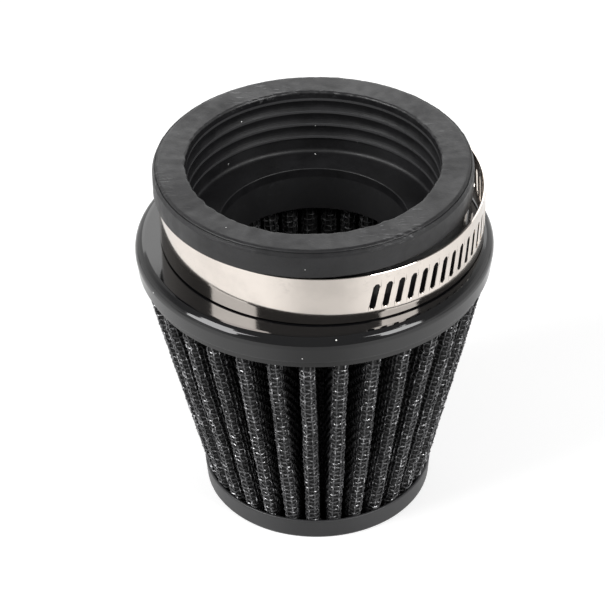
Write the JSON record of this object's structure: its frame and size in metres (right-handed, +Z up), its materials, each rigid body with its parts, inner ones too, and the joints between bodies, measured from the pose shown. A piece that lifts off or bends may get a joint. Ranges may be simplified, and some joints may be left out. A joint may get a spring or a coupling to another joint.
{
  "type": "air filter",
  "caption": "Clamp-on conical pod air filter: rubber neck with grip ribs, glossy cover ring, pleated wire-mesh and gauze cone, satin end cap and a loose worm-drive hose clamp.",
  "frame": {"origin": "centre of the cap's underside, where the filter's axis meets the surface it stands on", "axes": "+Z up the filter's axis to the mouth of the neck; the clamp's screw lies towards +Y"},
  "size_m": [0.086, 0.0927, 0.0938],
  "materials": {
    "neck_rubber": "matt moulded black rubber with light scuffs",
    "throat_paint": "satin black coated steel",
    "cover_gloss": "glossy black coated steel",
    "potting": "cast black polyurethane, satin",
    "wire_mesh": "woven wire with a thin black coating, bright where rubbed",
    "gauze": "oiled black cotton gauze",
    "seam_metal": "plain rolled strip",
    "cap_satin": "satin black-grey coated steel",
    "clamp_steel": "bright rolled stainless strip",
    "screw_steel": "zinc-plated turned steel"
  },
  "bodies": {
    "filter": {"rubber_neck": "neck_rubber", "throat_ring": "throat_paint", "cover_ring": "cover_gloss", "top_potting": "potting", "outer_mesh": "wire_mesh", "gauze_layer_1": "gauze", "gauze_layer_2": "gauze", "gauze_layer_3": "gauze", "gauze_layer_4": "gauze", "inner_mesh": "wire_mesh", "seam_strip": "seam_metal", "bottom_cap": "cap_satin", "bottom_potting": "potting"},
    "clamp": {"clamp_band": "clamp_steel", "clamp_saddle": "clamp_steel", "clamp_housing": "clamp_steel"},
    "screw": {"clamp_screw": "screw_steel"},
    "tail": {"clamp_tail": "clamp_steel"}
  },
  "joints": [
    {"name": "clamp_swivel", "type": "hinge", "parent": "filter", "child": "clamp", "pos_m": [0, 0, 0.08006], "axis": [0, 0, 1], "continuous": true},
    {"name": "screw_turn", "type": "hinge", "parent": "clamp", "child": "screw", "pos_m": [0.00195, 0.0448, 0.08041], "axis": [1, 0, 0], "range_deg": [-720, 1800]},
    {"name": "tail_draw", "type": "hinge", "parent": "clamp", "child": "tail", "pos_m": [0.00195, 0.00155, 0.08006], "axis": [0, -0.008, 1], "range_deg": [-9.29, 23.07]}
  ],
  "couplings": [
    {"joint": "tail_draw", "follows": "screw_turn", "ratio": 0.012761}
  ]
}
